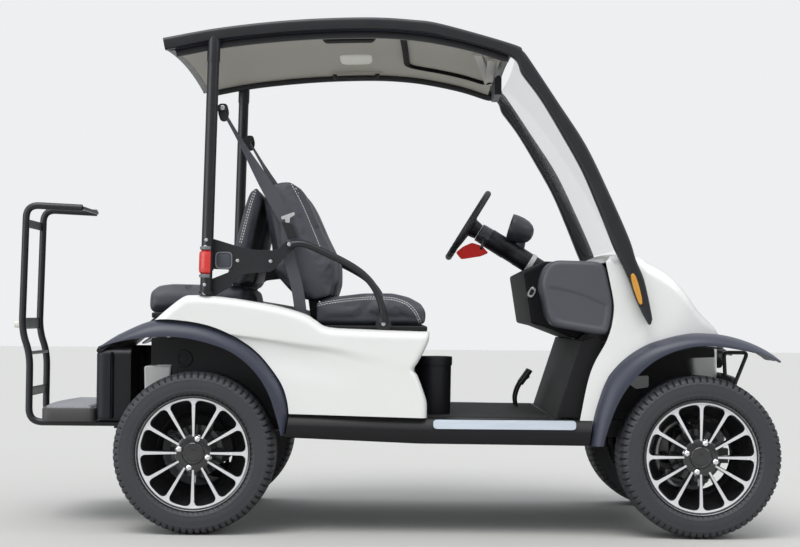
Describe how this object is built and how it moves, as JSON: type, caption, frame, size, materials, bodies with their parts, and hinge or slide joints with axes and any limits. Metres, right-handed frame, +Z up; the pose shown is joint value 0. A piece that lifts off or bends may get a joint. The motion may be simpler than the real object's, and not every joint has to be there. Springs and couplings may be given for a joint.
{
  "type": "golf cart",
  "caption": "Open electric golf cart with front seats, rear-facing seats, curved roof and screen, alloy wheels, rear footboard and grab bar.",
  "frame": {"origin": "middle of the bounding box, on the ground under the tyres", "axes": "+X forward along the car's length, +Y across to the driver's left, +Z up"},
  "size_m": [2.6522, 1.19, 1.708],
  "materials": {
    "tyre": "matte black rubber with fine tread",
    "alloy": "machined faces with black pockets",
    "chassis": "satin black",
    "running_gear": "satin dark grey",
    "white_body": "gloss off-white",
    "slate_trim": "satin slate black",
    "black_plastic": "matte black",
    "dash_grey": "satin mid grey",
    "roof_panel": "satin beige grey",
    "clear_screen": "clear",
    "charcoal_leather": "soft grained",
    "dark_tube": "satin black",
    "bright_plate": "satin with a bright edge",
    "headlamp": "clear lens over a bright reflector",
    "red_lamp": "translucent red",
    "amber_lamp": "translucent amber",
    "floor": "ribbed black",
    "mirror_case": "satin black",
    "webbing": "woven grey",
    "lamp_grey": "clear over a grey case"
  },
  "bodies": {
    "chassis": {"chassis_frame": "chassis", "rear_axle": "running_gear", "front_suspension": "running_gear", "rack_housing": "running_gear", "floor_pan": "floor", "sills": "slate_trim", "toe_board": "black_plastic", "front_fenders": "slate_trim", "rear_fenders": "slate_trim", "wheel_housings": "black_plastic", "body_sides": "white_body", "seat_box": "slate_trim", "battery_pack": "black_plastic", "kick_panel": "slate_trim", "rear_valance": "white_body", "cowl_sides": "white_body", "nose": "white_body", "dash": "black_plastic", "dash_pods": "dash_grey", "front_bumper": "black_plastic", "bumper_stays": "dark_tube", "headlamps": "headlamp", "roof_frame": "slate_trim", "roof_panel": "roof_panel", "windscreen": "clear_screen", "mirror": "mirror_case", "rear_posts": "dark_tube", "tail_lamps": "red_lamp", "side_lamps": "amber_lamp", "front_cushions": "charcoal_leather", "front_backrests": "charcoal_leather", "rear_cushions": "charcoal_leather", "rear_backrests": "charcoal_leather", "side_plates": "dark_tube", "armrests": "dark_tube", "seat_belts": "webbing", "steering_column": "black_plastic", "instrument_pod": "black_plastic", "pedals": "black_plastic", "litter_bin": "black_plastic", "footboard": "bright_plate", "grab_bar": "dark_tube", "reversing_lamp": "lamp_grey"},
    "steering": {"steering_wheel": "black_plastic"},
    "knuckle_left": {"knuckle_left": "running_gear"},
    "knuckle_right": {"knuckle_right": "running_gear"},
    "track_rods": {"track_rods": "running_gear"},
    "wheel_front_left": {"tyre_front_left": "tyre", "rim_front_left": "alloy"},
    "wheel_front_right": {"tyre_front_right": "tyre", "rim_front_right": "alloy"},
    "wheel_rear_left": {"tyre_rear_left": "tyre", "rim_rear_left": "alloy"},
    "wheel_rear_right": {"tyre_rear_right": "tyre", "rim_rear_right": "alloy"}
  },
  "joints": [
    {"name": "steer_left", "type": "hinge", "parent": "chassis", "child": "knuckle_left", "pos_m": [1.055, 0.43, 0.2665], "axis": [0, 0, 1], "range_deg": [-28, 28]},
    {"name": "steer_right", "type": "hinge", "parent": "chassis", "child": "knuckle_right", "pos_m": [1.055, -0.43, 0.2665], "axis": [0, 0, 1], "range_deg": [-28, 28]},
    {"name": "rack_slide", "type": "slide", "parent": "chassis", "child": "track_rods", "axis": [0, 1, 0], "range_m": [-0.043, 0.043]},
    {"name": "steering_turn", "type": "hinge", "parent": "chassis", "child": "steering", "pos_m": [0.319, 0.27, 1.066], "axis": [-0.8526, 0, 0.5225], "range_deg": [-337, 337]},
    {"name": "roll_front_left", "type": "hinge", "parent": "knuckle_left", "child": "wheel_front_left", "pos_m": [1.055, 0.4925, 0.2665], "axis": [0, 1, 0], "continuous": true},
    {"name": "roll_front_right", "type": "hinge", "parent": "knuckle_right", "child": "wheel_front_right", "pos_m": [1.055, -0.4925, 0.2665], "axis": [0, 1, 0], "continuous": true},
    {"name": "roll_rear_left", "type": "hinge", "parent": "chassis", "child": "wheel_rear_left", "pos_m": [-0.61, 0.4925, 0.2665], "axis": [0, 1, 0], "continuous": true},
    {"name": "roll_rear_right", "type": "hinge", "parent": "chassis", "child": "wheel_rear_right", "pos_m": [-0.61, -0.4925, 0.2665], "axis": [0, 1, 0], "continuous": true}
  ],
  "couplings": [
    {"joint": "steer_right", "follows": "steer_left", "ratio": 1},
    {"joint": "rack_slide", "follows": "steer_left", "m_per_rad": -0.0865},
    {"joint": "steering_turn", "follows": "steer_left", "ratio": 12}
  ]
}
